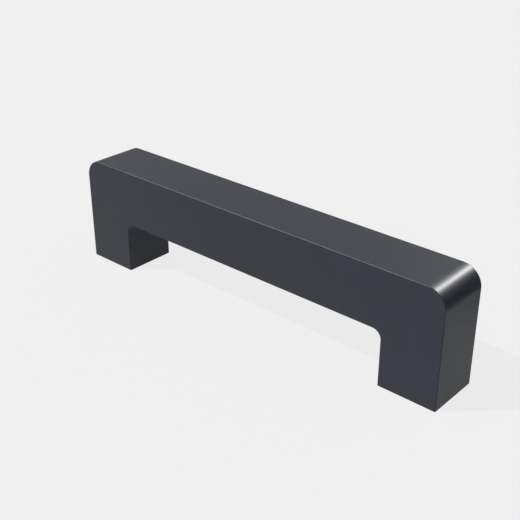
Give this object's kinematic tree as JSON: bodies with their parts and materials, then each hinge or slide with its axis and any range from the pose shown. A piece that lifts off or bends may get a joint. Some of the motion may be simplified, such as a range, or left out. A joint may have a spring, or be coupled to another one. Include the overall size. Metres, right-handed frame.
{
  "type": "bridge pull handle",
  "caption": "Straight flat-sided grip turned down into a square foot at each end, with a blind tapped hole up each foot, for pulling a door, drawer or cover open.",
  "frame": {"origin": "middle of the mounting plane that both feet stand on, half way between the two screw holes", "axes": "+X along the grip, +Y from the front face to the back face, +Z out of the mounting plane towards the grip"},
  "size_m": [0.1478, 0.019, 0.0383],
  "materials": {
    "anodised_aluminium": "satin anthracite anodised"
  },
  "bodies": {
    "root": {"handle": "anodised_aluminium"}
  },
  "joints": []
}
